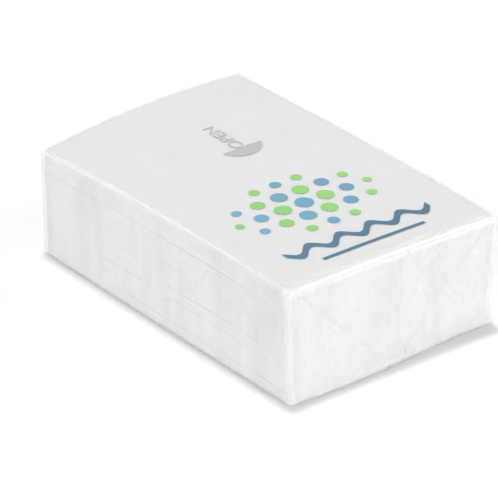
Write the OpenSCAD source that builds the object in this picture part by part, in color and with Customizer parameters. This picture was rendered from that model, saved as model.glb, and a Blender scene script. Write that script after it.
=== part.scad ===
// Pocket tissue pack: ten folded tissues in a clear film wrapper with envelope-folded ends.
// Millimetres. X runs along the pack, Y across it, Z up. The origin is the middle of the base.

/* [Pack] */
// Length of the closed pack
pack_l = 75; // [70:1:110]
// Width of the closed pack
pack_w = 47; // [44:1:75]
// Height of the pack at the crown of its top
pack_h = 24; // [18:0.5:34]
// How much lower than the crown the long top edge in front lies
front_drop = 1.5; // [0.6:0.1:1.8]
// How much lower the long top edge at the back lies
back_drop = 0.7; // [0.5:0.1:1.8]
// How much lower the top is at the end by the opening
opening_drop = 0.3; // [0.2:0.1:1.4]
// How much lower the top is at the end by the print
print_drop = 1; // [0.4:0.1:1.4]
// Radius of the roll from the top into the end folds
roll_r = 1.5; // [1:0.25:4]
// Radius along the long top edges
rim_r = 0.6; // [0.3:0.1:1]
// Radius along the edges of the base
base_r = 1; // [0.5:0.1:1.4]
// Radius of the four upright corners
corner_r = 1; // [0.5:0.1:1.1]

/* [Film] */
// Thickness of the clear film
film_t = 0.05; // [0.03:0.01:0.1]
// Length of the end flaps, from the edge that they hang on to their free edge
flap_l = 20.5; // [18:0.5:22]
// Width of the lap seam under the pack
seam_w = 8; // [4:1:15]

/* [Tissues] */
// Gap between the folded panels of one tissue
panel_gap = 0.1; // [0.06:0.01:0.14]
// Rounding of the panels' folded long edges
edge_round = 0.22; // [0.1:0.02:0.24]
// Gap between one tissue and the next
tissue_gap = 0.06; // [0.04:0.01:0.12]
// Gap between the stack and the film round it
stack_clear = 0.35; // [0.32:0.01:0.6]
// Gap between the stack and the film under and over it
lift_clear = 0.04; // [0.02:0.01:0.1]

/* [Print] */
// Thickness of the ink on the film
ink_t = 0.03; // [0.02:0.01:0.05]
// Straight side of the half-moon opening mark
moon_chord = 8.8; // [6:0.1:12]
// Depth of the half-moon opening mark
moon_depth = 3.3; // [2:0.1:4]
// Distance of the mark's straight side from the back end
moon_x = 27.1; // [22:0.1:32]
// Distance of the mark's middle from the long edge in front
moon_y = 26.9; // [22:0.1:32]
// Distance of the dot field's middle from the back end
dots_x = 51; // [48:0.5:52]
// Distance of the dot field's middle from the long edge in front
dots_y = 22.5; // [20:0.5:26]
// Distance from one dot row to the next
dot_pitch = 4.2; // [4:0.1:5]
// Diameter of the dots in the middle of the field
dot_d = 3.6; // [2:0.1:3.8]
// Diameter of the dots at the rim of the field
dot_rim_d = 1.6; // [1:0.1:2]
// Half the extent of the dot field along the pack
field_x = 10.5; // [8:0.5:11]
// Half the extent of the dot field across the pack
field_y = 15; // [10:0.5:17]
// Distance of the printed wave from the back end
wave_x = 65.2; // [64.4:0.1:65.8]
// Length of the printed wave
wave_l = 32; // [24:0.5:38]
// Length of one swell of the wave
wave_pitch = 6.8; // [4:0.2:8]
// How far the wave swings to each side
wave_swing = 1.2; // [0.5:0.1:1.4]
// Thickness of the wave's line
wave_t = 1.7; // [0.8:0.1:2]
// Distance of the printed rule from the back end
rule_x = 69.4; // [69:0.1:70]
// Length of the printed rule
rule_l = 22.5; // [12:0.5:30]
// Thickness of the printed rule
rule_t = 0.8; // [0.5:0.1:1.2]

/* [Hidden] */

$fn = 32;
// Number of tissues in the stack
tissues = 10;
// Panels that one tissue is folded into
panels = 3;
// Straight pieces in each rounded corner, and in each long arc of the top
corner_steps = 4;
crown_steps = 9;
// The lengthwise arc tops out this much above the crown, so that the two arcs cross cleanly
arc_lift = 0.2;
// Layers of flap on each end
flap_layers = 2;
// How far cutting shapes run past what they cut
past = 1;

body_l = pack_l - 2 * flap_layers * film_t;
front_top = pack_h - front_drop;
back_top = pack_h - back_drop;
opening_top = pack_h - opening_drop;
print_top = pack_h - print_drop;
side_top = min(front_top, back_top);
end_top = min(opening_top, print_top);

// Where the stack starts and stops, and the thickness that leaves for each folded panel
stack_low = 2 * film_t + lift_clear;
stack_high = min(side_top, end_top) - film_t - lift_clear;
room_h = (stack_high - stack_low + tissue_gap) / tissues - tissue_gap;
panel_t = (room_h - (panels - 1) * panel_gap) / panels;
panel_pitch = panel_t + panel_gap;
tissue_h = panels * panel_pitch - panel_gap;
tissue_pitch = tissue_h + tissue_gap;
turn_r = panel_t + panel_gap / 2;

// Points along an arc
function arc(x, y, r, from, to, steps) =
    [for (i = [0:steps]) let (a = from + (to - from) * i / steps) [x + r * cos(a), y + r * sin(a)]];

// Points of a shallow arch from +half, at the height right, over mid to -half, at the height left
function arch(half, right, left, mid, steps) =
    [for (i = [0:steps])
        let (u = 1 - 2 * i / steps, low = u > 0 ? right : left)
        [half * u, mid - (mid - low) * u * u]];

// A closed section that stands on the base, with round corners and an arched top
module arched_section(half, right, left, mid, top_r, bottom_r, inset) {
    h = half - inset;
    tr = top_r - inset;
    br = bottom_r - inset;
    polygon(concat(
        arc(h - br, inset + br, br, -90, 0, corner_steps),
        arc(h - tr, right - inset - tr, tr, 0, 80, corner_steps),
        arch(h - tr, right - inset, left - inset, mid - inset, crown_steps),
        arc(-h + tr, left - inset - tr, tr, 100, 180, corner_steps),
        arc(-h + br, inset + br, br, 180, 270, corner_steps)
    ));
}

module plan_section(inset) {
    x = body_l / 2 - corner_r;
    y = pack_w / 2 - corner_r;
    r = corner_r - inset;
    polygon(concat(
        arc(x, -y, r, -90, 0, corner_steps),
        arc(x, y, r, 0, 90, corner_steps),
        arc(-x, y, r, 90, 180, corner_steps),
        arc(-x, -y, r, 180, 270, corner_steps)
    ));
}

// The outer form of the wrapped stack, or the same form a little smaller
module pack_form(inset = 0) {
    intersection() {
        translate([0, pack_w / 2 + past, 0])
            rotate([90, 0, 0])
            linear_extrude(pack_w + 2 * past)
            arched_section(body_l / 2, print_top, opening_top, pack_h + arc_lift, roll_r, base_r, inset);
        translate([-body_l / 2 - past, 0, 0])
            rotate([90, 0, 90])
            linear_extrude(body_l + 2 * past)
            arched_section(pack_w / 2, back_top, front_top, pack_h, rim_r, base_r, inset);
        translate([0, 0, -past])
            linear_extrude(pack_h + 2 * past)
            plan_section(inset);
    }
}

// One flap against an end face, tapered by the tucks at its sides. It hangs on the fold at fold_z
// and runs down (1) or up (-1) from the height where the end face is flat.
module end_flap(fold_z, down, start, stop, layers) {
    z0 = fold_z - down * start;
    z1 = fold_z - down * stop;
    w0 = pack_w / 2 - start;
    w1 = pack_w / 2 - stop;
    translate([body_l / 2 - film_t / 2, 0, 0])
        rotate([90, 0, 90])
        linear_extrude((layers + 0.5) * film_t)
        polygon([[-w0, z0], [w0, z0], [w1, z1], [-w1, z1]]);
}

// The upper flap lies over the lower one, whose free edge is tucked in under the roll
module end_fold() {
    flat_high = end_top - roll_r;
    end_flap(0, -1, base_r, min(flap_l, flat_high), 1);
    end_flap(pack_h, 1, pack_h - flat_high, flap_l, flap_layers);
}

module lap_seam() {
    seam_l = body_l - 2 * base_r;
    translate([-seam_l / 2, -seam_w / 2, film_t / 2])
        cube([seam_l, seam_w, 1.5 * film_t]);
}

module film_wrapper() {
    color([0.93, 0.95, 0.97, 0.4])
    union() {
        difference() {
            union() {
                pack_form();
                end_fold();
                mirror([1, 0, 0]) end_fold();
            }
            pack_form(film_t);
        }
        lap_seam();
    }
}

// What a round corner of radius r takes off the reach at a distance d from its flat side
function corner_loss(r, d) = d >= r ? 0 : r - sqrt(r * r - (r - d) * (r - d));

// Half the room inside the film for a layer that lies between two heights
function half_room(half, top, top_r, low, high) =
    half - film_t - stack_clear
    - max(corner_loss(base_r - film_t, low - film_t), corner_loss(top_r - film_t, top - film_t - high));

// One turn of the sheet, with the free end of the panel under it
module turn_and_end(reach) {
    translate([reach - turn_r, turn_r]) circle(r = turn_r);
    translate([-reach, 0]) square([reach, panel_t]);
}

// The gap between two panels, which ends inside their turn
module panel_slot(reach) {
    translate([-reach - past, panel_t]) square([2 * reach + past - turn_r, panel_gap]);
    translate([reach - turn_r, turn_r]) circle(d = panel_gap);
}

// Section along one tissue: three panels, joined by a turn at each end
module folded_section(reach) {
    difference() {
        union() {
            translate([turn_r - reach, 0]) square([2 * (reach - turn_r), tissue_h]);
            turn_and_end(reach);
            translate([0, tissue_h]) rotate(180) turn_and_end(reach);
        }
        panel_slot(reach);
        translate([0, tissue_h]) rotate(180) panel_slot(reach);
    }
}

// Notches along one side that round the folded edges of the panels
module edge_notches(reach) {
    for (i = [0:panels])
        translate([-reach - past, 0, i * panel_pitch - panel_gap / 2])
            rotate([90, 0, 90])
            linear_extrude(2 * (reach + past))
            polygon([[-edge_round, 0], [0, -edge_round], [past, 0], [0, edge_round]]);
}

// What fills the room between a flat tissue and the crowned film over it
module swell(reach, half_width, low) {
    intersection() {
        pack_form(film_t + lift_clear);
        translate([turn_r - reach, edge_round - half_width, low])
            cube([2 * (reach - turn_r), 2 * (half_width - edge_round), pack_h]);
    }
}

// One tissue, quarter-folded to a ribbon and then folded back and forth into three panels.
// The last one swells up to the film.
module tissue(index) {
    low = stack_low + index * tissue_pitch;
    high = low + tissue_h;
    reach = half_room(body_l / 2, end_top, roll_r, low, high);
    half_width = half_room(pack_w / 2, side_top, rim_r, low, high);
    color([0.97, 0.97, 0.97]) {
        translate([0, 0, low])
        difference() {
            translate([0, half_width, 0])
                rotate([90, 0, 0])
                linear_extrude(2 * half_width)
                folded_section(reach);
            for (turn = [0, 180])
                rotate(turn)
                translate([0, half_width, 0])
                edge_notches(reach);
        }
        if (index == tissues - 1) swell(reach, half_width, high - panel_t / 2);
    }
}

// Ink of the given flat shape, lying on the arched top of the film
module ink() {
    difference() {
        intersection() {
            translate([0, 0, ink_t]) pack_form();
            translate([0, 0, pack_h / 2])
                linear_extrude(pack_h)
                children();
        }
        pack_form();
    }
}

// Moves a flat shape to its distances from the back end and from the long edge in front
module place(from_back, from_front) {
    translate([from_back - pack_l / 2, from_front - pack_w / 2]) children();
}

module opening_mark() {
    moon_r = (moon_chord * moon_chord / 4 + moon_depth * moon_depth) / (2 * moon_depth);
    color([0.76, 0.76, 0.77])
    ink()
        place(moon_x, moon_y)
        intersection() {
            translate([moon_depth - moon_r, 0]) circle(r = moon_r);
            translate([0, -moon_chord]) square([2 * moon_depth, 2 * moon_chord]);
        }
}

// Every second dot of a staggered field, smaller towards the rim
module dots(turn) {
    rows = ceil(field_x / dot_pitch);
    columns = ceil(field_y / dot_pitch);
    place(dots_x, dots_y)
    for (i = [-rows:rows])
        for (j = [-columns:columns]) {
            x = i * dot_pitch;
            y = (j + (i % 2 == 0 ? 0 : 0.5)) * dot_pitch * 1.15;
            far = sqrt(pow(x / field_x, 2) + pow(y / field_y, 2));
            if (far <= 1 && abs(i + j + 2 * rows + 2 * columns) % 2 == turn)
                translate([x, y]) circle(d = dot_d + (dot_rim_d - dot_d) * far * far);
        }
}

module print_blue() {
    color([0.40, 0.64, 0.76]) ink() dots(0);
}

module print_green() {
    color([0.56, 0.80, 0.52]) ink() dots(1);
}

// A wavy line across the pack
module wave() {
    steps = 8 * round(wave_l / wave_pitch);
    near = [for (i = [0:steps]) let (y = wave_l * (i / steps - 0.5))
        [wave_swing * cos(360 * y / wave_pitch) - wave_t / 2, y]];
    far = [for (p = near) [p[0] + wave_t, p[1]]];
    polygon(concat(near, [for (i = [steps:-1:0]) far[i]]));
}

module print_slate() {
    color([0.30, 0.47, 0.58])
    ink() {
        place(wave_x, pack_w / 2) wave();
        place(rule_x, pack_w / 2) square([rule_t, rule_l], center = true);
    }
}

film_wrapper();
tissue(0);  // tissue_01
tissue(1);  // tissue_02
tissue(2);  // tissue_03
tissue(3);  // tissue_04
tissue(4);  // tissue_05
tissue(5);  // tissue_06
tissue(6);  // tissue_07
tissue(7);  // tissue_08
tissue(8);  // tissue_09
tissue(9);  // tissue_10
opening_mark();
print_blue();
print_green();
print_slate();
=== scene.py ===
"""Looks of the pocket tissue pack: clear crinkled film over a stack of soft folded tissues.

Lengths in the builders are millimetres in the frame's axes; make_mesh turns them into metres.
"""
import math

import bpy
import numpy as np
from mathutils import Matrix, Vector


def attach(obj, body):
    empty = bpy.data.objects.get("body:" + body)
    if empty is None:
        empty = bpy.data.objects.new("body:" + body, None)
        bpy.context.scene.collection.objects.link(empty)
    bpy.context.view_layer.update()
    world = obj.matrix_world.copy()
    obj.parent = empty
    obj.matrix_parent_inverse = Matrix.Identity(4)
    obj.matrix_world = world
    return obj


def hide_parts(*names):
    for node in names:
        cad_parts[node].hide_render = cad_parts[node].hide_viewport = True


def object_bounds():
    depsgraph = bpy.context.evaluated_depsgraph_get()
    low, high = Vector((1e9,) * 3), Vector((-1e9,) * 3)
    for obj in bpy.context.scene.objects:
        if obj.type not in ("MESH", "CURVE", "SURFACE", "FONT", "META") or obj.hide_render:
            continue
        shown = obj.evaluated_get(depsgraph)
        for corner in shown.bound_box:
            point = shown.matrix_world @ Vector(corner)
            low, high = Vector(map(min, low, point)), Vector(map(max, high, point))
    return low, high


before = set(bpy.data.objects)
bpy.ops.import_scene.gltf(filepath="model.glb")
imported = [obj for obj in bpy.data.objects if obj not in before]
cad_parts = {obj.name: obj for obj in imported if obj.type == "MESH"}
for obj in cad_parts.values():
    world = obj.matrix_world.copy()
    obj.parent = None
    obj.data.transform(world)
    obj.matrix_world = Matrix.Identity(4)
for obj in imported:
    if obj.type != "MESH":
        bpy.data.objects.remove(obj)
cad_low, cad_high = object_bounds()
MM = 0.001
SEED = 7

# Half the length and half the width of the pack, from the frame
HALF_L = cad_high.x / MM
HALF_W = cad_high.y / MM

# Height of the plain box that is softened into the pack
TOP_Z = 22.2
# How far the top is crowned across the pack at each end, and along it
OPENING_CROWN, PRINT_CROWN, LONG_CROWN = 1.6, 0.4, 1.1
# Signs of x and y of each top corner, and how far it is drawn from the plain box
TOP_CORNERS = [
    (-1, -1, (0.0, 0.1, -0.5)),
    (1, -1, (0.0, 0.0, 0.6)),
    (1, 1, (0.95, 0.8, 0.35)),
    (-1, 1, (-0.3, 0.3, 1.2)),
]
# Centre, reach and shift of each dent
DENTS = [
    ((HALF_L, HALF_W, 5.4), (5.0, 5.0, 3.2), (-0.3, -0.3, 0.0)),
    ((HALF_L, HALF_W, 0.0), (5.0, 5.0, 3.0), (0.4, 0.4, 0.0)),
    ((HALF_L, -9.0, 0.5), (5.0, 24.0, 5.0), (1.5, 0.0, 0.0)),
    ((0.0, -HALF_W, 0.0), (60.0, 4.0, 5.0), (0.0, -0.4, 0.0)),
]

# Faces of the film along X, Z and Y, and in the rounding into its long sides
FILM_STEPS = ((140, 70, 124, 5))
# Faces along each edge of a flap's rim
RIM_STEPS = 48
# Faces of a tissue along X, Y and Z
TISSUE_STEPS = ((84, 52, 24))


# Small helpers for fields over many points

def smooth(t):
    t = np.clip(t, 0.0, 1.0)
    return t * t * (3.0 - 2.0 * t)


# Cells of the noise's lattice before it repeats
LATTICE = 64


def lattice_noise(points, size, seed):
    """Smooth noise from -1 to 1, with cells of the given size in millimetres."""
    table = np.random.default_rng(seed).random((LATTICE, LATTICE, LATTICE)) * 2.0 - 1.0
    p = points / np.asarray(size, float)
    i = np.floor(p).astype(int)
    f = p - i
    f = f * f * (3.0 - 2.0 * f)
    total = np.zeros(len(points))
    for dx in (0, 1):
        for dy in (0, 1):
            for dz in (0, 1):
                weight = (
                    (f[:, 0] if dx else 1 - f[:, 0])
                    * (f[:, 1] if dy else 1 - f[:, 1])
                    * (f[:, 2] if dz else 1 - f[:, 2])
                )
                corner = (i + (dx, dy, dz)) % LATTICE
                total += weight * table[corner[:, 0], corner[:, 1], corner[:, 2]]
    return total


# How far the folds wander off a straight line, and over what length
FOLD_WANDER, WANDER_CELL = 0.6, 9
# Length of the stretches where a fold is sharp, and half the width of its white line, partly whitened crease
# and partly painted highlight
SHARP_CELL, CREST_W = 3.5, 0.34


def fold_waves(flat, seed, count, spacing, slope, patch, turns):
    """Crumpled film: sets of straight folds that run through patches of a plane.

    Gives the height in millimetres and, from 0 to 1, how near each point is to a sharp fold.
    """
    rng = np.random.default_rng(seed)
    height, crest = np.zeros(len(flat)), np.zeros(len(flat))
    solid = np.c_[flat, np.zeros(len(flat))]
    for k in range(count):
        angle, pitch, phase = rng.uniform(*turns), rng.uniform(*spacing), rng.random()
        warp = FOLD_WANDER * lattice_noise(solid, [WANDER_CELL] * 3, seed + 50 + k)
        along = (flat @ (math.cos(angle), math.sin(angle)) + warp) / pitch + phase
        wave = 4 * np.abs(along - np.floor(along) - 0.5) - 1
        patchy = smooth(1.6 * lattice_noise(solid, [patch] * 3, seed + k) + 0.25)
        height += patchy * wave * slope * pitch / 4
        sharp = smooth(1.5 * lattice_noise(solid, [SHARP_CELL] * 3, seed + 20 + k) + 0.25)
        near = smooth(1 - (1 - wave) * pitch / 4 / CREST_W)
        crest = np.maximum(crest, patchy * sharp * near)
    return height, crest


def bump_at(points, centre, reach):
    """1 at the centre, falling smoothly to 0 over the reach in each axis."""
    far = np.linalg.norm((points - np.asarray(centre)) / np.asarray(reach, float), axis=1)
    return np.exp(-far * far * 1.6)


def joined(shapes):
    """Points and faces of several shapes as one."""
    points, faces = [], []
    for shape_points, shape_faces in shapes:
        start = len(points)
        points += list(shape_points)
        faces += [tuple(start + i for i in face) for face in shape_faces]
    return points, faces


def make_mesh(name, points, faces, material, milk_and_highlight=None):
    mesh = bpy.data.meshes.new(name)
    mesh.from_pydata((np.asarray(points) * MM).tolist(), [], faces)
    mesh.validate()
    mesh.polygons.foreach_set("use_smooth", [True] * len(mesh.polygons))
    if milk_and_highlight is not None:
        layer = mesh.attributes.new("milk_and_highlight", "FLOAT", "POINT")
        layer.data.foreach_set("value", np.asarray(milk_and_highlight, np.float32))
    mesh.materials.append(material)
    piece = bpy.data.objects.new(name, mesh)
    bpy.context.scene.collection.objects.link(piece)
    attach(piece, "root")
    return piece


# The soft form that the film and the tissues share

def soften(points):
    """Moves points of the plain box to the soft pack: crowned, sagged and pinched as in the photo."""
    p = np.array(points, float)
    x, y, z = p[:, 0] / HALF_L, p[:, 1] / HALF_W, p[:, 2] / TOP_Z
    u, v = np.clip(x, -1, 1), np.clip(y, -1, 1)
    rise = np.clip(z, 0, 1.05) ** 1.5
    across = (OPENING_CROWN + (PRINT_CROWN - OPENING_CROWN) * (1 + u) / 2) * (1 - v * v)
    crown = across + LONG_CROWN * (1 - u * u) * (0.5 + 0.5 * v * v)
    p[:, 2] += rise * crown
    for cx, cy, shift in TOP_CORNERS:
        near = rise * ((1 + cx * u) / 2) ** 2 * ((1 + cy * v) / 2) ** 1.5
        p += near[:, None] * np.asarray(shift)
    for centre, reach, shift in DENTS:
        p += bump_at(np.array(points, float), centre, reach)[:, None] * np.asarray(shift)
    p[:, 2] = np.maximum(p[:, 2], 0.0)
    return p


# Film wrapper

# Radii of the rolls at the opening end and the print end, of the base's ends, and of the long sides
BACK_ROLL_R, FRONT_ROLL_R, BASE_R, EDGE_R = 0.9, 1.6, 1.1, 0.6
# Room that the skin leaves at each end for its flaps
END_ROOM = 0.12
# Depth of the upper and lower end flaps, how far inside the corners their 45 degree sides start,
# and how far below the top the upper one comes out of the roll
FLAP_L, FLAP_INSET, FLAP_START = 20.5, 0.4, 1.6
# Steps up onto the upper and the lower flap, the width of their slope and of their white edges
UPPER_STEP, LOWER_STEP, STEP_W, EDGE_W = 0.08, 0.04, 0.7, 0.5
# Gap between the side tucks of an end fold, and where it lies across the end
TUCK_GAP, TUCK_MIDDLE = 2.2, 0.3
# Rows of a flap's rim: distance from the free edge, how far it stands off, and its whiteness, a painted
# highlight on the folded edge
RIM_ROWS = ((0.0, 0.08, 0.5), (0.2, 0.09, 0.5), (0.5, 0.07, 0.25), (0.9, 0.05, 0.0))
# Directions across the creases in the ends, in radians, so that most of them stand upright
UPRIGHT = (-0.9, 0.9)
# Folds in the ends and on the long sides: sets, spacing, slope, size of patches and directions
COARSE_FOLDS = {"count": 6, "spacing": (7, 13), "slope": 0.045, "patch": 11, "turns": UPRIGHT}
FINE_FOLDS = {"count": 7, "spacing": (2.6, 5), "slope": 0.045, "patch": 7, "turns": UPRIGHT}
SIDE_FOLDS = {"count": 4, "spacing": (5, 11), "slope": 0.030, "patch": 9, "turns": (0, math.pi)}
# Where the film lies tight on a long side: distance from the opening end, and half width
TIGHT_BANDS = [
    (10.5, 2.8), (19.0, 1.2), (31.0, 2.0), (42.5, 2.4), (51.0, 2.8), (61.0, 2.0), (70.5, 1.5)
]
# How far slack film stands off between the tight bands
SLACK_H = 0.11
# Shifts in the noise that make the two ends, and the two long sides, differ
END_SHIFT, SIDE_SHIFT = 60, 90
# Reach of the painted highlights, over creased and doubled film, along the long top edges, the upright
# corners and the rolls
LONG_EDGE_W, CORNER_W, LIP_W = 1.2, 1.4, 1.8
# Least whiteness of the ends, which keeps the tucked strip even
END_MILK = 0.38


def rounded_side(inset, steps_x, steps_z):
    """The four sides of the rounded section in XZ, split in the middle of its corners."""
    h, t = HALF_L - END_ROOM - inset, TOP_Z - inset
    back_r, front_r, base_r = (max(r - inset, 0.15) for r in (BACK_ROLL_R, FRONT_ROLL_R, BASE_R))

    def arc(cx, cz, r, start, stop):
        a = np.radians(np.linspace(start, stop, 9))
        return np.stack([cx + r * np.cos(a), cz + r * np.sin(a)], 1)

    def even(first, second, steps):
        line = np.r_[first, second]
        leg = np.r_[0, np.cumsum(np.linalg.norm(np.diff(line, axis=0), axis=1))]
        at = np.linspace(0, leg[-1], steps + 1)
        return np.stack([np.interp(at, leg, line[:, 0]), np.interp(at, leg, line[:, 1])], 1)

    left, right, low = -h + base_r, h - base_r, inset + base_r
    back_x, back_z, front_x, front_z = -h + back_r, t - back_r, h - front_r, t - front_r
    bottom = even(arc(left, low, base_r, 225, 270), arc(right, low, base_r, 270, 315), steps_x)
    front = even(arc(right, low, base_r, 315, 360), arc(front_x, front_z, front_r, 0, 45), steps_z)
    upper = even(arc(back_x, back_z, back_r, 135, 90), arc(front_x, front_z, front_r, 90, 45), steps_x)
    back = even(arc(left, low, base_r, 225, 180), arc(back_x, back_z, back_r, 180, 135), steps_z)
    return bottom, front, upper, back


def film_grid():
    """Points and faces of the closed wrapper on the plain box."""
    nx, nz, ny, edge_steps = FILM_STEPS
    turn = [math.radians(90 * k / edge_steps) for k in range(edge_steps + 1)]
    flat = HALF_W - EDGE_R
    stations = [(-flat - EDGE_R * math.cos(a), EDGE_R * (1 - math.sin(a))) for a in turn]
    stations += [(-flat + 2 * flat * j / ny, 0.0) for j in range(1, ny)]
    stations += [(flat + EDGE_R * math.cos(a), EDGE_R * (1 - math.sin(a))) for a in turn[::-1]]
    rings = []
    for y, inset in stations:
        bottom, front, upper, back = rounded_side(inset, nx, nz)
        ring = np.r_[bottom[:-1], front[:-1], upper[::-1][:-1], back[::-1][:-1]]
        rings.append(np.c_[ring[:, 0], np.full(len(ring), y), ring[:, 1]])
    count = len(rings[0])
    points = [np.concatenate(rings)]
    faces = []
    for m in range(len(stations) - 1):
        for r in range(count):
            s = (r + 1) % count
            faces.append((m * count + r, (m + 1) * count + r, (m + 1) * count + s, m * count + s))
    start = len(points[0])
    for station, flipped in ((0, False), (len(stations) - 1, True)):
        y, inset = stations[station]
        inner, wall = long_side(rounded_side(inset, nx, nz), station * count, start, flipped)
        points.append(np.c_[inner[:, 0], np.full(len(inner), y), inner[:, 1]])
        faces += wall
        start += len(inner)
    return np.concatenate(points), faces


def long_side(outline, first, start, flipped):
    """Inner points in XZ and faces of a long side, whose outline's points are numbered from first."""
    bottom, front, upper, back = outline
    nx, nz = len(bottom) - 1, len(front) - 1
    u = np.linspace(0, 1, nx + 1)[:, None, None]
    v = np.linspace(0, 1, nz + 1)[None, :, None]
    grid = (1 - v) * bottom[:, None] + v * upper[:, None] + (1 - u) * back[None] + u * front[None]
    grid -= (
        (1 - u) * (1 - v) * bottom[0] + u * (1 - v) * bottom[-1] + (1 - u) * v * upper[0] + u * v * upper[-1]
    )
    index = np.zeros((nx + 1, nz + 1), int)
    count = 2 * (nx + nz)
    for i in range(nx + 1):
        index[i, 0] = first + i
        index[i, nz] = first + nx + nz + (nx - i)
    for k in range(nz + 1):
        index[nx, k] = first + nx + k
        index[0, k] = first + (2 * nx + nz + (nz - k)) % count
    inner = grid[1:-1, 1:-1].reshape(-1, 2)
    index[1:-1, 1:-1] = start + np.arange(len(inner)).reshape(nx - 1, nz - 1)
    faces = []
    for i in range(nx):
        for k in range(nz):
            quad = [int(index[a, b]) for a, b in ((i, k), (i + 1, k), (i + 1, k + 1), (i, k + 1))]
            faces.append(quad[::-1] if flipped else quad)
    return inner, faces


def outward(points):
    """Unit direction out of the plain box at each point, turning softly at its edges."""
    half = np.array([HALF_L, HALF_W, TOP_Z / 2])
    d = points - (0, 0, TOP_Z / 2)
    near = np.sign(d) * np.maximum(np.abs(d) - (half - 2.5), 0) + 1e-6 * d
    return near / np.linalg.norm(near, axis=1)[:, None]


def zones(points):
    """How much each point belongs to the ends, the long sides, the top and the base."""
    x, y, z = points.T
    end = smooth((np.abs(x) - (HALF_L - 2.2)) / 1.8)
    side = smooth((np.abs(y) - (HALF_W - 0.9)) / 0.8) * (1 - end)
    top = smooth((z - (TOP_Z - 1.5)) / 1.3) * (1 - side) * (1 - end)
    base = smooth((0.6 - z) / 0.6)
    return end, side, top, base


def flap_inside(points, down):
    """How far inside an end flap each point lies, in millimetres, negative outside it."""
    y, z = points[:, 1], points[:, 2]
    depth = TOP_Z - z if down else z
    slanted = (HALF_W - FLAP_INSET - depth - np.abs(y)) * math.sqrt(0.5)
    return np.minimum(slanted, FLAP_L - depth)


def end_relief(points):
    """Height of the crumpled ends, with their flaps laid over each other, and the white of their creases and
    flap edges, partly whitened film and partly painted highlight.
    """
    x, y, z = points.T
    sign = np.where(x > 0, 1.0, -1.0)
    across = np.c_[y * sign + END_SHIFT * (x < 0), z]
    coarse, coarse_crest = fold_waves(across, SEED, **COARSE_FOLDS)
    fine, fine_crest = fold_waves(across, SEED + 100, **FINE_FOLDS)
    # The fine folds gather in the upper part of one half of the end
    busy = 0.35 + 0.65 * smooth((y * sign + 4) / 12) * smooth((z - 4) / 8)
    calm = smooth((TOP_Z - 0.6 - z) / 3) * smooth((HALF_W - 0.3 - np.abs(y)) / 2.5)
    upper, lower = flap_inside(points, True), flap_inside(points, False)
    steps = UPPER_STEP * smooth(upper / STEP_W + 0.5) + LOWER_STEP * smooth(lower / STEP_W + 0.5)
    height = calm * (coarse + busy * fine) + steps * (z < TOP_Z - 1.0) * (z > 1.0)
    # Painted highlight on the flap edges, over the white of the doubled edge, stronger on the half of each
    # end whose slanted edges catch the light
    left = np.where(y * sign < 0, 1.0, 0.35)
    edges = left * smooth(1 - np.abs(upper) / EDGE_W)
    edges += 0.25 * smooth(1 - np.abs(lower) / EDGE_W) * (upper < 0)
    white = 0.16 * coarse_crest + 0.28 * busy * fine_crest + 0.6 * edges * (z > 0.8)
    return height, white


def side_slack(x, z, along):
    """How slack the film is on the long sides, from -1 in the tight bands to 1 between them."""
    zero = np.zeros(len(x))
    wander = 1.3 * lattice_noise(np.c_[along * 0.3, z, zero], (9, 7, 9), SEED + 4)
    slack = 0.7 * lattice_noise(np.c_[along + wander, z * 0.22, zero], (4.5, 9, 9), SEED + 3)
    for place, half in TIGHT_BANDS:
        slack -= 0.9 * np.exp(-(((x + HALF_L + wander - place) / half) ** 2))
    return np.tanh(slack + 0.3)


def relief(points):
    """How far the film stands off its smooth form, the white of its creases, partly painted highlight, and
    its slack.
    """
    x, y, z = points.T
    end, side, top, base = zones(points)
    end_height, end_white_and_highlight = end_relief(points)
    along = x + SIDE_SHIFT * (y > 0)
    slack = side_slack(x, z, along)
    nicks, nick_crest = fold_waves(np.c_[along, z], SEED + 200, **SIDE_FOLDS)
    still = smooth((TOP_Z - 0.4 - z) / 2.5)
    height = end * end_height
    height += side * still * (SLACK_H * slack + nicks * 0.6)
    height += top * (0.03 + 0.03 * lattice_noise(points, (16, 12, 9), SEED + 5))
    height = np.clip(height, -0.25, 0.4) * (1 - base)
    white = end * end_white_and_highlight + side * 0.08 * nick_crest
    return height, white, slack


def film_surface(points):
    """Places points of the plain box on the finished film."""
    return soften(points) + outward(points) * relief(points)[0][:, None]


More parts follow.
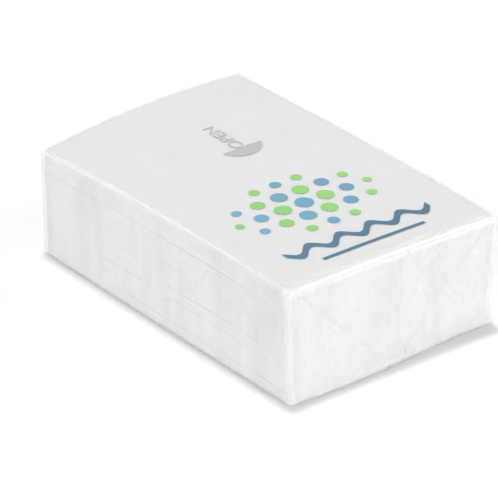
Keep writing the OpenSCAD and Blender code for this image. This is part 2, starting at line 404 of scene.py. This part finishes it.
def film_white_and_highlight(points):
    """Where the film is doubled or strained and looks whiter, from 0 to 1, together with highlights painted
    along its long top edges, upright corners, rolls and creases.
    """
    x, y, z = points.T
    end, side, top = zones(points)[:3]
    white, slack = relief(points)[1:]
    # Painted highlight along the long top edges, partly their crisp crease, strongest on the front edge
    # towards the opening end
    long_edge_highlight = smooth(1 - np.hypot(np.abs(y) - HALF_W, z - TOP_Z) / LONG_EDGE_W)
    lit_edge_share = 0.55 + 0.45 * smooth((-x - 5) / 12) * (y < 0)
    # Painted highlight down the upright corners, partly film doubled by the side tucks
    corner = smooth(1 - np.hypot(np.abs(x) - HALF_L, np.abs(y) - HALF_W) / CORNER_W)
    # Painted highlight along the rolls at the ends, brighter at the opening end
    roll_highlight = smooth(1 - np.hypot(np.abs(x) - HALF_L + 0.3, z - TOP_Z + 0.3) / LIP_W)
    blotch = lattice_noise(points, (5, 3.6, 6), SEED + 7)
    blotch += 0.7 * lattice_noise(points, (2.4, 1.7, 2.8), SEED + 8)
    strip = np.abs(y * np.sign(x) - TUCK_MIDDLE) / (TUCK_GAP / 2)
    tucked = 1 - 0.6 * smooth(2.2 - 1.2 * strip) * smooth((z - 3) / 2)
    # Doubled film at the ends, with the white of creases and flap edges, partly painted highlight
    doubled = 0.44 + 0.18 * tucked + 0.24 * np.clip(blotch, -1, 1) + 0.5 * white
    milk_and_highlight = 0.95 * long_edge_highlight * lit_edge_share + 0.65 * corner + np.where(x > 0, 0.4, 0.7) * roll_highlight
    milk_and_highlight += end * np.maximum(doubled, END_MILK)
    # On the long sides, slack film is whiter than the tight bands: partly its puckering, partly painted light
    # and shade of its ripples
    milk_and_highlight += side * (0.13 + 0.10 * slack + white)
    milk_and_highlight += top * 0.05 + 0.4 * smooth((1.3 - z) / 0.9)
    return np.clip(milk_and_highlight, 0, 1)


def flap_rim(sign):
    """The free edge of an upper end flap, a narrow strip that stands a little off the film, whitened with a
    painted highlight that is weaker on its second slanted side.
    """
    half_fold, half_free = HALF_W - FLAP_INSET - FLAP_START, HALF_W - FLAP_INSET - FLAP_L
    z_fold, z_free = TOP_Z - FLAP_START, TOP_Z - FLAP_L
    corners = [(-half_fold, z_fold), (-half_free, z_free), (half_free, z_free), (half_fold, z_fold)]
    path, inward = [], []
    for (y0, z0), (y1, z1), way in zip(corners, corners[1:], ((0.7, 0.7), (0.0, 1.0), (-0.7, 0.7))):
        for t in np.linspace(0, 1, RIM_STEPS, endpoint=False):
            path.append((y0 + (y1 - y0) * t, z0 + (z1 - z0) * t))
            inward.append(way)
    path, inward = np.array(path + corners[-1:]), np.array(inward + [(-0.7, 0.7)])
    rows, milk_and_highlight = [], []
    for back, stand, white in RIM_ROWS:
        line = path + inward * back
        flat = np.c_[np.full(len(line), sign * (HALF_L - END_ROOM)), line[:, 0] * sign, line[:, 1]]
        fade = smooth((TOP_Z - FLAP_START - flat[:, 2]) / 3)
        placed = film_surface(flat)
        placed[:, 0] += sign * (0.01 + stand * fade)
        rows.append(placed)
        # Painted highlight, weaker on the second slanted side, which catches less light
        lit_side_share = np.where(line[:, 0] < half_free, 1.0, 0.4)
        broken = 0.55 + 0.9 * lattice_noise(flat, (4, 4, 4), SEED + 11)
        milk_and_highlight.append(white * lit_side_share * broken)
    n = len(path)
    faces = []
    for r in range(len(RIM_ROWS) - 1):
        for i in range(r * n, r * n + n - 1):
            faces.append((i, i + 1, n + i + 1, n + i))
    return np.concatenate(rows), faces, np.clip(np.concatenate(milk_and_highlight), 0, 1)


def film_wrapper(material):
    points, faces = film_grid()
    parts = [(film_surface(points), faces, film_white_and_highlight(points)), flap_rim(-1), flap_rim(1)]
    points, faces = joined([part[:2] for part in parts])
    milk_and_highlight = np.concatenate([part[2] for part in parts])
    piece = make_mesh("film_skin", points, faces, material, milk_and_highlight)
    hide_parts("film_wrapper")


# Tissues

# Tissues in the stack, and panels that one is folded into
TISSUES, PANELS = 10, 3
# Room under and over the stack, at its ends and beside it, and how much the tissues' sizes vary
STACK_LOW, STACK_GAP = 0.12, 0.07
END_GAP, SIDE_GAP, END_SPREAD, SIDE_SPREAD = 0.54, 0.36, 0.08, 0.05
# Radius of the tissues' upright corners, and how far in from the outline their edges are shaped
TISSUE_CORNER_R, RIM_L = 0.9, 3
# How deep the grooves between panels and between tissues are, and how far edges stray
RIBBON_DIP, STACK_DIP, RIBBON_DRIFT = 0.05, 0.05, 0.03
# Depth of the groove beside a turn at the ends, and the share of it that a free panel lies back
END_DIP, FREE_SHARE = 0.10, 0.7
# Radius of the stack's lower edges along its sides and at its ends
STACK_BASE_R, STACK_END_BASE_R = 0.5, 1.0
# Radius of the stack's upper edges along its sides and at its ends
STACK_SIDE_R, STACK_FRONT_R, STACK_BACK_R = 0.5, 1.5, 0.8


def box_grid(nx, ny, nz):
    """Points of a cube's surface from -1 to 1, set closer to its upright edges, with its faces."""
    def spread(n):
        t = np.linspace(-1, 1, n + 1)
        return 0.55 * t + 0.45 * np.sin(t * math.pi / 2)

    axes = [spread(nx), spread(ny), np.linspace(-1, 1, nz + 1)]
    index, points, faces = {}, [], []
    n = (nx, ny, nz)

    def at(i, j, k):
        key = (i, j, k)
        if key not in index:
            index[key] = len(points)
            points.append((axes[0][i], axes[1][j], axes[2][k]))
        return index[key]

    for a, b, c in ((0, 1, 2), (1, 2, 0), (2, 0, 1)):
        for level in (0, n[c]):
            for i in range(n[a]):
                for j in range(n[b]):
                    quad = []
                    for di, dj in ((0, 0), (1, 0), (1, 1), (0, 1)):
                        where = [0, 0, 0]
                        where[a], where[b], where[c] = i + di, j + dj, level
                        quad.append(at(*where))
                    faces.append(quad if level else quad[::-1])
    return np.array(points), faces


def rounded_outline(flat, half, r):
    """Moves the points of a rectangle so that its corners have the radius r."""
    inner = half - r
    past = np.sign(flat) * np.maximum(np.abs(flat) - inner, 0)
    reach = np.linalg.norm(past, axis=1)
    square = np.max(np.abs(past), axis=1)
    scale = np.where(reach > 1e-9, square / np.maximum(reach, 1e-9), 1.0)
    return np.clip(flat, -inner, inner) + past * scale[:, None]


def groove(t, depth):
    """Depth of the grooves on both sides of a rounded edge, for t from -1 to 1 across it."""
    return depth * (1 - np.sqrt(np.clip(1 - 0.97 * t ** 2, 0, 1)))


def edge_loss(depth, r):
    """How far a round edge of radius r falls back at a depth into its rounding."""
    return r - np.sqrt(r ** 2 - np.clip(depth, 0, r) ** 2)


def tissue_block(index, material, grid):
    """One folded tissue: three soft panels, joined by a turn at each end."""
    unit, faces = grid
    rng = np.random.default_rng(SEED * 100 + index)
    pitch = (TOP_Z - STACK_GAP - STACK_LOW) / TISSUES
    half_x = HALF_L - END_GAP - rng.uniform(0, END_SPREAD)
    half_y = HALF_W - SIDE_GAP - rng.uniform(0, SIDE_SPREAD)
    half = np.array([half_x, half_y])
    flat = rounded_outline(unit[:, :2] * half, half, TISSUE_CORNER_R)
    level = unit[:, 2]
    height = STACK_LOW + pitch * index + pitch * (level + 1) / 2

    # Direction out of the outline, how near each point is to it, and where that is an end
    out = flat - np.clip(flat, -(half - RIM_L), half - RIM_L)
    away = np.linalg.norm(out, axis=1)
    out = out / np.maximum(away, 1e-9)[:, None]
    rim = smooth(away / RIM_L)
    endness = smooth((np.abs(out[:, 0]) - 0.6) / 0.3)

    # Folded edges of the panels along the sides
    panel = (level + 1) * PANELS / 2
    k = np.clip(np.floor(panel - 1e-9), 0, PANELS - 1).astype(int)
    stray = rng.uniform(-RIBBON_DRIFT, RIBBON_DRIFT, PANELS)[k]
    places = np.c_[flat, k * 2.3 + index * 7]
    stray = stray + RIBBON_DRIFT * lattice_noise(places, (13, 13, 1), SEED + 9)
    between = groove(level, STACK_DIP)
    sides = np.maximum(groove(2 * (panel - k) - 1, RIBBON_DIP), between) + stray

    # Turns at the ends: the lower two panels are joined at the print's end, the upper two at the other
    turned = np.where(out[:, 0] > 0, (level + 1 / 3) / (2 / 3), (level - 1 / 3) / (2 / 3))
    free = np.abs(turned) > 1
    ends = np.where(free, END_DIP * FREE_SHARE, groove(np.clip(turned, -1, 1), END_DIP)) + between

    # The stack's round edges under the film's rolls
    base_r = STACK_BASE_R + (STACK_END_BASE_R - STACK_BASE_R) * endness
    end_r = np.where(out[:, 0] > 0, STACK_FRONT_R, STACK_BACK_R)
    roll_r = STACK_SIDE_R + (end_r - STACK_SIDE_R) * endness
    rounding = edge_loss(base_r - height, base_r)
    rounding += edge_loss(height - (TOP_Z - STACK_GAP - roll_r), roll_r)

    inset = (sides + rounding) * (1 - endness) + (ends + rounding) * endness
    flat = flat - out * (inset * rim)[:, None]
    name = f"tissue_{index + 1:02d}"
    piece = make_mesh(f"{name}_soft", soften(np.c_[flat, height]), faces, material)
    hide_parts(name)


# Helpers for materials

def new_material(name):
    material = bpy.data.materials.new(name)
    material.use_nodes = True
    tree = material.node_tree
    tree.nodes.clear()
    return material, tree


def node(tree, kind, **values):
    """A new node, with its settings and its inputs' values; an input's name has _ for a space."""
    made = tree.nodes.new(kind)
    for key, value in values.items():
        if hasattr(made, key):
            setattr(made, key, value)
        else:
            made.inputs[key.replace("_", " ")].default_value = value
    return made


def maths(tree, operation, *terms):
    """Result of a sum on numbers and other nodes' results."""
    made = node(tree, "ShaderNodeMath", operation=operation)
    for term, socket in zip(terms, made.inputs):
        if isinstance(term, float):
            socket.default_value = term
        else:
            tree.links.new(term, socket)
    return made.outputs[0]


def noise(tree, place, **values):
    made = node(tree, "ShaderNodeTexNoise", **values)
    tree.links.new(place, made.inputs["Vector"])
    return made.outputs["Fac"]


def map_range(tree, value, low, high, start, stop):
    """Maps the values from low to high to those from start to stop."""
    made = node(tree, "ShaderNodeMapRange", From_Min=low, From_Max=high, To_Min=start, To_Max=stop)
    tree.links.new(value, made.inputs["Value"])
    return made.outputs["Result"]


def tones(tree, value, stops):
    """Colours between two stops, each a position and a tone."""
    made = node(tree, "ShaderNodeValToRGB")
    for element, (position, tone) in zip(made.color_ramp.elements, stops):
        element.position = position
        element.color = (*tone, 1)
    tree.links.new(value, made.inputs[0])
    return made.outputs[0]


def bumped(tree, height, shader):
    """Gives a shader a fine relief."""
    bump = node(tree, "ShaderNodeBump", Strength=0.02, Distance=0.0001)
    tree.links.new(height, bump.inputs["Height"])
    tree.links.new(bump.outputs[0], shader.inputs["Normal"])


def mixed(tree, share, first, second):
    made = node(tree, "ShaderNodeMixShader")
    for source, socket in zip((share, first, second), made.inputs):
        tree.links.new(source, socket)
    return made.outputs[0]


def finished(tree, shader, kind="ShaderNodeOutputMaterial"):
    tree.links.new(shader, node(tree, kind).inputs["Surface"])


# Materials

def film_material():
    """Clear glossy film: see-through, whiter where it is doubled and where highlights are painted on it, and
    mirror-like at a glance.
    """
    material, tree = new_material("film_clear")
    place = node(tree, "ShaderNodeTexCoord").outputs["Object"]
    milk_and_highlight = node(tree, "ShaderNodeAttribute", attribute_name="milk_and_highlight").outputs["Fac"]
    clouds = noise(tree, place, Scale=180.0, Detail=3.0)
    whiteness = maths(tree, "MULTIPLY_ADD", clouds, 0.06, maths(tree, "MULTIPLY", milk_and_highlight, 0.75))
    # Seen from the inside, a milky patch is clearer, and the far walls stay as bright as the near
    backfacing = node(tree, "ShaderNodeNewGeometry").outputs["Backfacing"]
    whiteness = maths(tree, "MULTIPLY", whiteness, maths(tree, "MULTIPLY_ADD", backfacing, -0.7, 1.0))
    clear = node(tree, "ShaderNodeBsdfTransparent", Color=(0.997, 0.998, 0.999, 1))
    white = node(tree, "ShaderNodeBsdfPrincipled", Roughness=0.35, Base_Color=(0.91, 0.912, 0.915, 1))
    body = mixed(tree, whiteness, clear.outputs[0], white.outputs[0])
    gloss = node(tree, "ShaderNodeBsdfGlossy", Roughness=0.12)
    bumped(tree, noise(tree, place, Scale=420.0, Detail=4.0), gloss)
    facing = node(tree, "ShaderNodeLayerWeight", Blend=0.5).outputs["Facing"]
    mirror = maths(tree, "MULTIPLY_ADD", maths(tree, "POWER", facing, 4.0), 0.35, 0.06)
    finished(tree, mixed(tree, mirror, body, gloss.outputs[0]))
    return material


def tissue_material():
    """Soft white tissue paper with a faint fibre and soft clouds, and painted shade in upright bands on the
    stack's sides.
    """
    material, tree = new_material("tissue_paper")
    place = node(tree, "ShaderNodeTexCoord")
    fibre = noise(tree, place.outputs["Object"], Scale=900.0, Detail=6.0, Roughness=0.7)
    cloud = noise(tree, place.outputs["Object"], Scale=140.0, Detail=2.0)
    stops = ((0.1, (0.855, 0.855, 0.857)), (0.4, (0.875, 0.875, 0.875)))
    white = tones(tree, maths(tree, "MULTIPLY", fibre, cloud), stops)
    # Painted shade: darker upright bands on the stack's sides
    stretch = node(tree, "ShaderNodeMapping", Scale=(1.0, 1.0, 0.12))
    tree.links.new(place.outputs["Object"], stretch.inputs["Vector"])
    painted_band_shade = map_range(tree, noise(tree, stretch.outputs[0], Scale=260.0, Detail=1.5), 0.35, 0.65, 0.09, 0.0)
    facing = node(tree, "ShaderNodeSeparateXYZ")
    tree.links.new(place.outputs["Normal"], facing.inputs[0])
    beside = maths(tree, "SUBTRACT", 1.0, maths(tree, "ABSOLUTE", facing.outputs["Z"]))
    kept = maths(tree, "SUBTRACT", 1.0, maths(tree, "MULTIPLY", painted_band_shade, beside))
    colour = node(tree, "ShaderNodeHueSaturation")
    tree.links.new(kept, colour.inputs["Value"])
    tree.links.new(white, colour.inputs["Color"])
    paper = node(tree, "ShaderNodeBsdfPrincipled", Roughness=0.95, Specular_IOR_Level=0.1)
    tree.links.new(colour.outputs["Color"], paper.inputs["Base Color"])
    bumped(tree, fibre, paper)
    finished(tree, paper.outputs[0])
    return material


# Where the ink's tone starts and stops changing, across the pack
TONE_START, TONE_STOP = -12, 15


def ink_material(name, front, back):
    """Flat ink under gloss, shading from one tone to the other across the pack."""
    material, tree = new_material(name)
    place = node(tree, "ShaderNodeTexCoord").outputs["Object"]
    split = node(tree, "ShaderNodeSeparateXYZ")
    tree.links.new(place, split.inputs[0])
    across = map_range(tree, split.outputs["Y"], TONE_START * MM, TONE_STOP * MM, 0.0, 1.0)
    grain = noise(tree, place, Scale=1400.0, Detail=3.0)
    shade = maths(tree, "MULTIPLY_ADD", grain, 0.22, across)
    ink = node(tree, "ShaderNodeBsdfPrincipled", Roughness=0.4, Coat_Weight=0.6, Coat_Roughness=0.15)
    tree.links.new(tones(tree, shade, ((0.0, front), (1.0, back))), ink.inputs["Base Color"])
    finished(tree, ink.outputs[0])
    return material


# Distances from the pack's middle, in metres, between which the floor's glow grows, and its levels; the
# weaker glow near the pack is painted shade that deepens the pack's shadow
GLOW_NEAR, GLOW_FAR, GLOW_LOW, GLOW_HIGH = 0.045, 0.085, 0.03, 0.16


def floor_material():
    """White paper floor that keeps the pack's shadow and is plain white to the camera elsewhere."""
    material, tree = new_material("floor_white")
    paper = node(tree, "ShaderNodeBsdfDiffuse", Color=(0.96, 0.96, 0.96, 1))
    far = node(tree, "ShaderNodeVectorMath", operation="LENGTH")
    tree.links.new(node(tree, "ShaderNodeNewGeometry").outputs["Position"], far.inputs[0])
    level = map_range(tree, far.outputs["Value"], GLOW_NEAR, GLOW_FAR, GLOW_LOW, GLOW_HIGH)
    seen = node(tree, "ShaderNodeLightPath").outputs["Is Camera Ray"]
    glow = node(tree, "ShaderNodeEmission")
    tree.links.new(maths(tree, "MULTIPLY", seen, level), glow.inputs["Strength"])
    both = node(tree, "ShaderNodeAddShader")
    tree.links.new(paper.outputs[0], both.inputs[0])
    tree.links.new(glow.outputs[0], both.inputs[1])
    finished(tree, both.outputs[0])
    return material


# Print

# How far the ink stands on the film
INK_LIFT = 0.015
# Middle of the dot field, distance of its rows, diameter of its dots inside and at its rim
DOTS_X, DOTS_Y, DOT_PITCH, DOT_D, DOT_RIM_D = 13.5, -1.0, 4.2, 3.6, 1.6
# Half the extent of the dot field
FIELD_X, FIELD_Y = 10.5, 15.0
# Place of the wave, its length, one swell of it, how far it swings, and its thickness
WAVE_X, WAVE_L, WAVE_PITCH, WAVE_SWING, WAVE_T = 27.7, 32.0, 6.8, 1.2, 1.7
# Place, length and thickness of the rule
RULE_X, RULE_L, RULE_T = 31.9, 22.5, 0.8
# Middle of the half-moon's straight side, its length, and the half-moon's depth
MOON_X, MOON_Y, MOON_CHORD, MOON_DEPTH = -10.4, 3.4, 8.8, 3.3
# Middle of the opening word, its length along the pack's width, and the height of its letters
WORD_X, WORD_Y, WORD_L, WORD_H = -15.6, 3.2, 10.2, 2.5


def drape(points_2d, lift):
    """Lays flat points on the film's top, a little proud of it."""
    flat = np.asarray(points_2d, float)
    laid = film_surface(np.c_[flat, np.full(len(flat), TOP_Z)])
    laid[:, 2] += lift
    return laid


def disc(x, y, r, steps=36, rings=3):
    points, faces = [(x, y)], []
    for k in range(1, rings + 1):
        for a in range(steps):
            t = 2 * math.pi * a / steps
            points.append((x + r * k / rings * math.cos(t), y + r * k / rings * math.sin(t)))
    for a in range(steps):
        b = (a + 1) % steps
        faces.append((0, 1 + a, 1 + b))
        for k in range(rings - 1):
            p, q = 1 + k * steps, 1 + (k + 1) * steps
            faces.append((p + a, q + a, q + b, p + b))
    return points, faces


def strip(left, right):
    """A band between two lines of points."""
    n = len(left)
    faces = [(i, n + i, n + i + 1, i + 1) for i in range(n - 1)]
    return left + right, faces


def band(middle, ys, thickness):
    """A band of even thickness along X, round a line of points."""
    low = [(x - thickness / 2, y) for x, y in zip(middle, ys)]
    high = [(x + thickness / 2, y) for x, y in zip(middle, ys)]
    return strip(low, high)


def steps_across(length, steps):
    return [length * (k / steps - 0.5) for k in range(steps + 1)]


def dot_field(turn):
    """Every second dot of a staggered field, smaller towards its rim."""
    rows, columns = math.ceil(FIELD_X / DOT_PITCH), math.ceil(FIELD_Y / DOT_PITCH)
    shapes = []
    for i in range(-rows, rows + 1):
        for j in range(-columns, columns + 1):
            x = i * DOT_PITCH
            y = (j + (0.5 if i % 2 else 0.0)) * DOT_PITCH * 1.15
            far = math.hypot(x / FIELD_X, y / FIELD_Y)
            if far <= 1 and (i + j) % 2 == turn:
                r = (DOT_D + (DOT_RIM_D - DOT_D) * far * far) / 2
                shapes.append(disc(DOTS_X + x, DOTS_Y + y, r))
    return joined(shapes)


def wave_and_rule():
    ys = steps_across(WAVE_L, 120)
    middle = [WAVE_X + WAVE_SWING * math.cos(2 * math.pi * y / WAVE_PITCH) for y in ys]
    rule_ys = steps_across(RULE_L, 24)
    rule = band([RULE_X] * len(rule_ys), rule_ys, RULE_T)
    return joined([band(middle, ys, WAVE_T), rule])


def half_moon():
    r = (MOON_CHORD ** 2 / 4 + MOON_DEPTH ** 2) / (2 * MOON_DEPTH)
    ys = steps_across(MOON_CHORD, 32)
    chord = [(MOON_X, MOON_Y + y) for y in ys]
    curve = [(MOON_X + MOON_DEPTH - r + math.sqrt(max(0.0, r * r - y * y)), MOON_Y + y) for y in ys]
    return strip(chord, curve)


def opening_word():
    """The plain word at the opening, its letters standing across the pack."""
    curve = bpy.data.curves.new("opening_word_shape", "FONT")
    curve.body = "OPEN"
    curve.size = 3.6
    curve.align_x = "CENTER"
    curve.align_y = "CENTER"
    holder = bpy.data.objects.new("opening_word_shape", curve)
    bpy.context.scene.collection.objects.link(holder)
    bpy.context.view_layer.update()
    evaluated = holder.evaluated_get(bpy.context.evaluated_depsgraph_get())
    solid = bpy.data.meshes.new_from_object(evaluated)
    bpy.data.objects.remove(holder)
    letters = np.array([v.co[:2] for v in solid.vertices])
    wide, tall = np.ptp(letters, axis=0)
    letters -= (letters.max(0) + letters.min(0)) / 2
    letters *= (WORD_L / wide, WORD_H / tall)
    # Reading runs towards the back, with the letters' tops towards the long edge in front
    points = np.c_[WORD_X - letters[:, 0], WORD_Y - letters[:, 1]]
    return points, [tuple(face.vertices) for face in solid.polygons]


def printed(name, shape, material, replaced=None):
    """A printed shape in ink, draped on the top."""
    points, faces = shape
    piece = make_mesh(name, drape(points, INK_LIFT), faces, material)
    if replaced:
        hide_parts(replaced)


# Stage

# The camera's place in degrees round the pack and millimetres from it, and where it aims
CAMERA_AZ, CAMERA_EL, CAMERA_ROLL = 52.65, 28.11, -1.05
CAMERA_DIST = 732.5
CAMERA_AIM = (3.05, -5.52, 11.0)
# Its focal length and the picture's long side in pixels, and the width of its sensor
CAMERA_PX, PICTURE_LONG_SIDE, SENSOR = 4000.0, 501, 36.0
# Half the floor's side and how far it lies under the pack, in metres
FLOOR_HALF, FLOOR_DROP = 3.0, 0.00002
# Strength of the studio's light near the horizon and from straight above
WORLD_WALLS, WORLD_ROOF = 1.1, 0.0
# Name, direction, distance in metres, size in metres and power in watts of each lamp
LAMPS = [
    ("lamp_over", (-0.08, 0.04, 1.0), 1.2, (0.14, 0.14), 7.0),
    ("lamp_front", (-0.10, -0.96, 0.25), 1.3, (0.9, 0.4), 2.95),
    ("lamp_right", (0.95, 0.05, 0.24), 1.3, (0.8, 0.5), 3.6),
    ("lamp_right_low", (0.70, 0.54, 0.20), 1.0, (0.24, 0.06), 0.5),
    ("lamp_back_right", (0.47, 0.54, 0.70), 0.9, (0.16, 0.10), 0.4),
    ("lamp_front_left", (-0.70, -0.47, 0.54), 0.9, (0.16, 0.06), 0.4),
]


def camera():
    data = bpy.data.cameras.new("camera")
    data.sensor_width = SENSOR
    data.lens = CAMERA_PX / PICTURE_LONG_SIDE * SENSOR
    data.clip_start, data.clip_end = 0.01, 10.0
    holder = bpy.data.objects.new("camera", data)
    bpy.context.scene.collection.objects.link(holder)
    az, el = math.radians(CAMERA_AZ), math.radians(CAMERA_EL)
    back = Vector((math.sin(az) * math.cos(el), -math.cos(az) * math.cos(el), math.sin(el)))
    level = Vector((0, 0, 1)).cross(back).normalized()
    upright = back.cross(level)
    roll = math.radians(CAMERA_ROLL)
    right = level * math.cos(roll) + upright * math.sin(roll)
    up = upright * math.cos(roll) - level * math.sin(roll)
    place = (Vector(CAMERA_AIM) + back * CAMERA_DIST) * MM
    rows = [(right[i], up[i], back[i], place[i]) for i in range(3)]
    holder.matrix_world = Matrix(rows + [(0, 0, 0, 1)])
    bpy.context.scene.camera = holder


def floor():
    s = FLOOR_HALF
    mesh = bpy.data.meshes.new("floor")
    mesh.from_pydata([(-s, -s, 0), (s, -s, 0), (s, s, 0), (-s, s, 0)], [], [(0, 1, 2, 3)])
    mesh.materials.append(floor_material())
    sheet = bpy.data.objects.new("floor", mesh)
    bpy.context.scene.collection.objects.link(sheet)
    sheet.location.z = -FLOOR_DROP


def studio():
    """Soft light from all round, and plain white behind everything."""
    world = bpy.data.worlds.new("studio")
    bpy.context.scene.world = world
    world.use_nodes = True
    tree = world.node_tree
    tree.nodes.clear()
    split = node(tree, "ShaderNodeSeparateXYZ")
    tree.links.new(node(tree, "ShaderNodeTexCoord").outputs["Generated"], split.inputs[0])
    light = node(tree, "ShaderNodeBackground", Color=(1, 1, 1, 1))
    dome = map_range(tree, split.outputs["Z"], 0.0, 1.0, WORLD_WALLS, WORLD_ROOF)
    tree.links.new(dome, light.inputs["Strength"])
    plain = node(tree, "ShaderNodeBackground", Color=(1, 1, 1, 1), Strength=1.0)
    seen = node(tree, "ShaderNodeLightPath").outputs["Is Camera Ray"]
    finished(tree, mixed(tree, seen, light.outputs[0], plain.outputs[0]), "ShaderNodeOutputWorld")


def softbox(name, direction, distance, size, power):
    data = bpy.data.lights.new(name, "AREA")
    data.shape = "RECTANGLE"
    data.size, data.size_y = size
    data.energy = power
    holder = bpy.data.objects.new(name, data)
    bpy.context.scene.collection.objects.link(holder)
    way = Vector(direction).normalized()
    holder.location = way * distance + Vector((0, 0, 0.01))
    holder.rotation_euler = way.to_track_quat("Z", "Y").to_euler()


def main():
    camera()
    floor()
    studio()
    for lamp in LAMPS:
        softbox(*lamp)
    paper = tissue_material()
    grid = box_grid(*TISSUE_STEPS)
    for index in range(TISSUES):
        tissue_block(index, paper, grid)
    film_wrapper(film_material())
    blue = ink_material("ink_blue", (0.17, 0.45, 0.62), (0.13, 0.34, 0.52))
    green = ink_material("ink_green", (0.28, 0.66, 0.21), (0.32, 0.72, 0.17))
    slate = ink_material("ink_slate", (0.07, 0.20, 0.31), (0.06, 0.17, 0.28))
    grey = ink_material("ink_grey", (0.56, 0.56, 0.57), (0.53, 0.53, 0.54))
    printed("dots_blue", dot_field(0), blue, "print_blue")
    printed("dots_green", dot_field(1), green, "print_green")
    printed("wave_slate", wave_and_rule(), slate, "print_slate")
    printed("half_moon", half_moon(), grey, "opening_mark")
    printed("opening_word", opening_word(), grey)
    bpy.context.scene.view_settings.view_transform = "Standard"


main()
